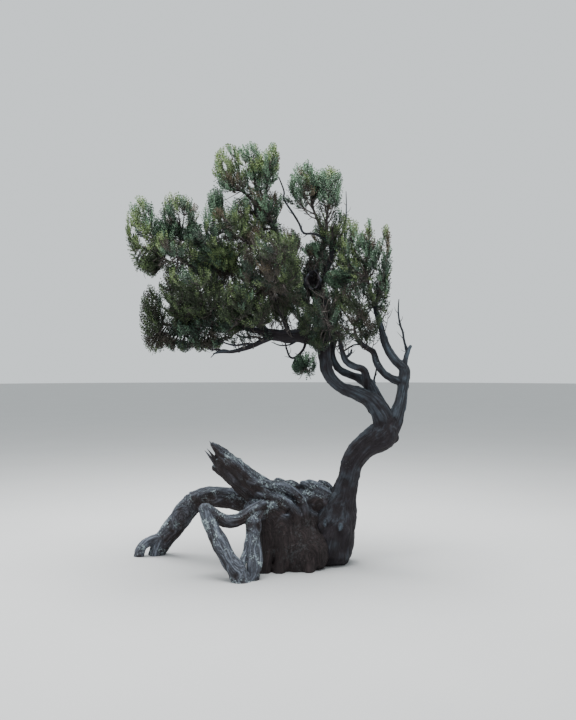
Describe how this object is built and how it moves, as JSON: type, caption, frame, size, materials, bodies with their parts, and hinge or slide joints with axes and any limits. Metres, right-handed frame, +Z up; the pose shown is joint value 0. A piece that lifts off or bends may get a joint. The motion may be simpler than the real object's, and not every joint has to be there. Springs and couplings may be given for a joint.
{
  "type": "windswept tree heath",
  "caption": "Old wind-trained evergreen heath tree with a leaning trunk, a swollen stump with arching dead limbs, and a flat one-sided crown of needle sprays.",
  "frame": {"origin": "middle of the trunk's flat foot, where it leaves level ground", "axes": "+Z up, +X to the windward side that the trunk leans toward, -X to leeward, where the crown trails; -Y is the side the picture shows"},
  "size_m": [2.4776, 1.5728, 3.6619],
  "materials": {
    "bark": "rough furrowed grey-brown bark, blue-grey where worn",
    "weathered_wood": "barkless, weathered, silver-grey grain with pale lichen",
    "foliage": "matt olive-green needle sprays on thin brown twigs"
  },
  "bodies": {
    "root": {"trunk": "bark", "stump": "weathered_wood", "dead_log": "weathered_wood", "arched_span": "weathered_wood", "arched_leg": "weathered_wood", "loop_arm": "weathered_wood", "loop_leg": "weathered_wood", "prop_limb": "weathered_wood", "left_limb": "bark", "level_bough": "bark", "right_limb": "bark", "right_upper_limb": "bark", "second_limb": "bark", "third_limb": "bark", "fourth_limb": "bark", "right_stub": "bark", "right_whip": "bark", "crown_stem": "bark", "top_bough": "bark", "upper_right_bough": "bark", "back_bough": "bark", "back_left_bough": "bark", "left_upper_bough": "bark", "left_lower_bough": "bark", "front_bough": "bark", "sweeping_bough": "bark", "hanging_twig": "bark", "bare_spire": "bark", "bare_whip": "bark", "far_left_crest": "foliage", "left_crest": "foliage", "left_under": "foliage", "left_shelf": "foliage", "far_left_skirt": "foliage", "left_skirt": "foliage", "left_back": "foliage", "centre_low": "foliage", "centre_front": "foliage", "centre_upper": "foliage", "upper_back": "foliage", "centre_back": "foliage", "top_left": "foliage", "top_middle": "foliage", "top_right": "foliage", "middle_top": "foliage", "upper_right": "foliage", "upper_right_edge": "foliage", "right_shoulder": "foliage", "right_crown": "foliage", "right_edge": "foliage", "right_low": "foliage", "inner_right": "foliage", "right_back": "foliage", "hanging_tuft": "foliage"}
  },
  "joints": []
}
